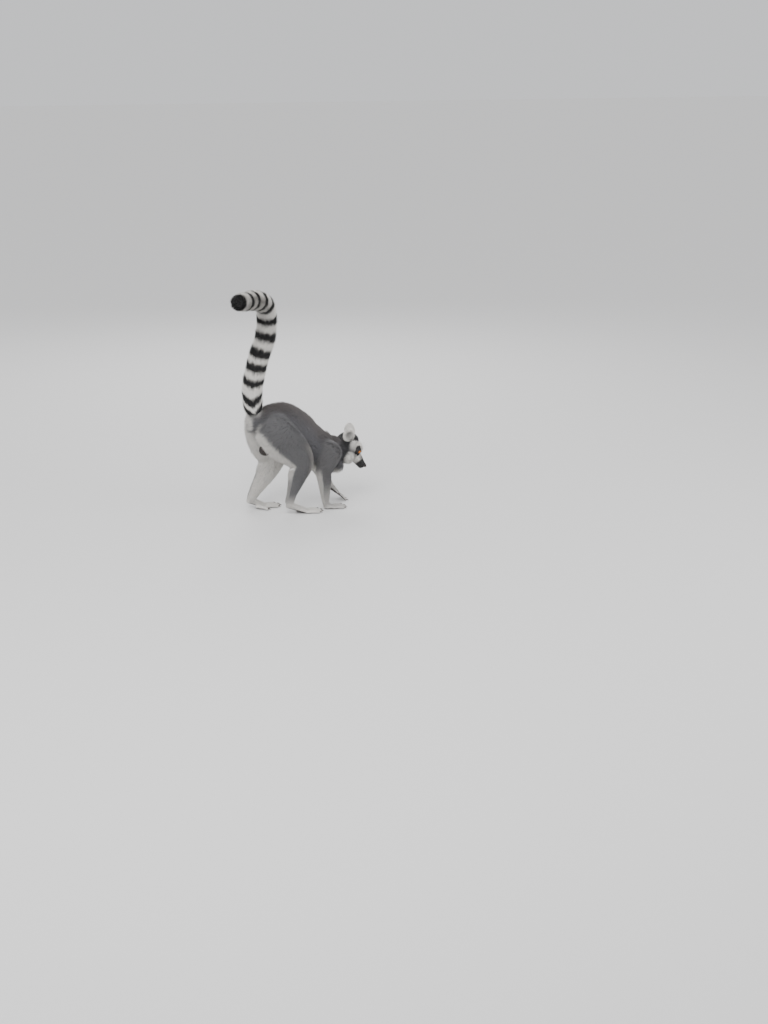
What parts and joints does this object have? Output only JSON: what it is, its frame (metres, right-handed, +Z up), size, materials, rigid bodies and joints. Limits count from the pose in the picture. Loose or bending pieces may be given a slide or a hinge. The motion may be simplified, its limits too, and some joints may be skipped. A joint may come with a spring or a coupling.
{
  "type": "ring-tailed lemur figure",
  "caption": "Life-size still figure of a male ring-tailed lemur walking on all fours, head low, its ringed tail held up and curling over to its right.",
  "frame": {"origin": "centre of the bounding box in plan, on the floor under the four feet", "axes": "+Z up, +X the way the animal walks, +Y to its left"},
  "size_m": [0.4255, 0.2582, 0.6466],
  "materials": {
    "head_coat": "short white and black fur",
    "nose_skin": "moist black skin",
    "neck_coat": "dense grey fur",
    "body_coat": "dense grey fur",
    "scrotum_skin": "bare black skin",
    "ear_coat": "white fur",
    "eye_surface": "wet amber eye",
    "tail_coat": "long fur in black and white rings",
    "limb_coat": "short pale grey fur",
    "foot_coat": "very short whitish fur"
  },
  "bodies": {
    "root": {"head": "head_coat", "nose": "nose_skin", "ear_left": "ear_coat", "ear_right": "ear_coat", "eye_left": "eye_surface", "eye_right": "eye_surface", "neck": "neck_coat", "trunk": "body_coat", "scrotum": "scrotum_skin", "tail_1": "tail_coat", "tail_2": "tail_coat", "tail_3": "tail_coat", "tail_4": "tail_coat", "tail_5": "tail_coat", "tail_6": "tail_coat", "upper_arm_left": "body_coat", "forearm_left": "limb_coat", "hand_left": "foot_coat", "thigh_left": "body_coat", "shank_left": "limb_coat", "foot_left": "foot_coat", "upper_arm_right": "body_coat", "forearm_right": "limb_coat", "hand_right": "foot_coat", "thigh_right": "body_coat", "shank_right": "limb_coat", "foot_right": "foot_coat"}
  },
  "joints": []
}
